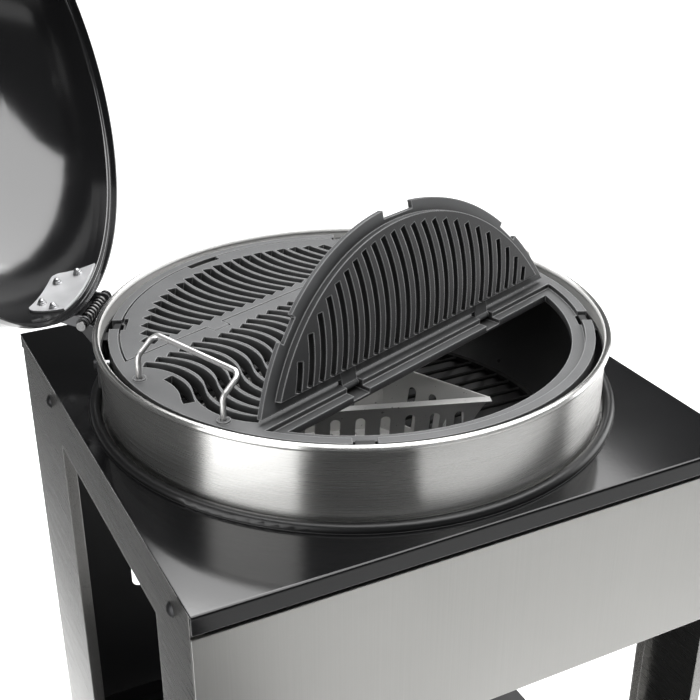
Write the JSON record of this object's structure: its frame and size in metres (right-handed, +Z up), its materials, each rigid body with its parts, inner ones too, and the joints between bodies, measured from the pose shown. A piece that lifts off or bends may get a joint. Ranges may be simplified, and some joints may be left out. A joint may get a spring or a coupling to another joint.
{
  "type": "kettle grill",
  "caption": "Charcoal kettle grill let into a square cart table, with a hinged domed lid, a cast-iron grate with flip-up wings, a fuel basket and an ash can.",
  "frame": {"origin": "on the kettle's vertical axis, in the plane of the tabletop", "axes": "+Z up, +Y to the back of the cart, +X to the right seen from the front"},
  "size_m": [0.9428, 0.8174, 1.499],
  "materials": {
    "black_enamel": "gloss black enamel",
    "brushed_steel": "brushed stainless steel",
    "bright_steel": "bright polished steel",
    "cast_iron": "matt enamelled cast iron",
    "black_steel": "satin black steel",
    "plain_steel": "plated steel",
    "aluminium_sheet": "aluminised sheet",
    "black_plastic": "moulded black nylon",
    "tyre": "black rubber",
    "dial_white": "white enamel dial"
  },
  "bodies": {
    "cart": {"tabletop": "black_enamel", "back_panel": "black_enamel", "front_cross_rail": "black_enamel", "bottom_shelf": "black_enamel", "bowl": "black_enamel", "grate_brackets": "black_enamel", "ash_collar": "black_enamel", "hinge_base": "black_enamel", "left_side_frame": "brushed_steel", "right_side_frame": "brushed_steel", "front_fascia": "brushed_steel", "bowl_band": "brushed_steel", "charcoal_basket": "brushed_steel", "left_grate_handle": "bright_steel", "right_grate_handle": "bright_steel", "hinge_pin": "bright_steel", "hinge_pin_nut": "bright_steel", "hinge_base_bolts": "bright_steel", "hinge_base_nuts": "bright_steel", "wheel_axle": "bright_steel", "front_feet": "bright_steel", "grate_frame": "cast_iron", "front_hinge_pins": "cast_iron", "rear_hinge_pins": "cast_iron", "hinge_spring": "black_steel", "frame_bolts": "black_steel", "charcoal_grate": "plain_steel", "ash_can_handle": "plain_steel", "ash_can": "aluminium_sheet", "axle_caps": "black_plastic"},
    "lid": {"lid_shell": "black_enamel", "lid_bracket": "plain_steel", "lid_inner_plate": "brushed_steel", "lid_hinge_screws": "bright_steel", "lid_hinge_nuts": "bright_steel", "lid_handle_bar": "brushed_steel", "lid_handle_posts": "black_plastic", "thermometer_case": "bright_steel", "thermometer_dial": "dial_white", "thermometer_stem": "bright_steel", "vent_rivet": "bright_steel"},
    "front_wing": {"front_flap": "cast_iron"},
    "rear_wing": {"rear_flap": "cast_iron"},
    "damper": {"vent_damper": "aluminium_sheet", "damper_knob": "black_plastic"},
    "sweeper": {"ash_sweeper": "plain_steel", "sweeper_lever": "plain_steel", "sweeper_grip": "black_plastic"},
    "left_wheel": {"left_wheel_rim": "black_plastic", "left_tyre": "tyre"},
    "right_wheel": {"right_wheel_rim": "black_plastic", "right_tyre": "tyre"}
  },
  "joints": [
    {"name": "lid_hinge", "type": "hinge", "parent": "cart", "child": "lid", "pos_m": [-0.24902, 0.17437, 0.075], "axis": [0.5736, 0.8192, 0], "range_deg": [0, 107]},
    {"name": "front_wing_hinge", "type": "hinge", "parent": "cart", "child": "front_wing", "pos_m": [0.03448, -0.09173, 0.078], "axis": [0.9361, 0.3518, 0], "range_deg": [0, 103]},
    {"name": "rear_wing_hinge", "type": "hinge", "parent": "cart", "child": "rear_wing", "pos_m": [-0.03448, 0.09173, 0.078], "axis": [0.9361, 0.3518, 0], "range_deg": [0, 103]},
    {"name": "vent_turn", "type": "hinge", "parent": "lid", "child": "damper", "pos_m": [-0.48788, 0.34162, 0.30374], "axis": [-0.7834, 0.5485, -0.2924], "range_deg": [0, 45]},
    {"name": "sweeper_turn", "type": "hinge", "parent": "cart", "child": "sweeper", "pos_m": [0, 0, -0.15], "axis": [0, 0, 1], "range_deg": [-25, 25]},
    {"name": "left_wheel_spin", "type": "hinge", "parent": "cart", "child": "left_wheel", "pos_m": [-0.333, 0.225, -0.72], "axis": [1, 0, 0], "continuous": true},
    {"name": "right_wheel_spin", "type": "hinge", "parent": "cart", "child": "right_wheel", "pos_m": [0.333, 0.225, -0.72], "axis": [1, 0, 0], "continuous": true}
  ]
}
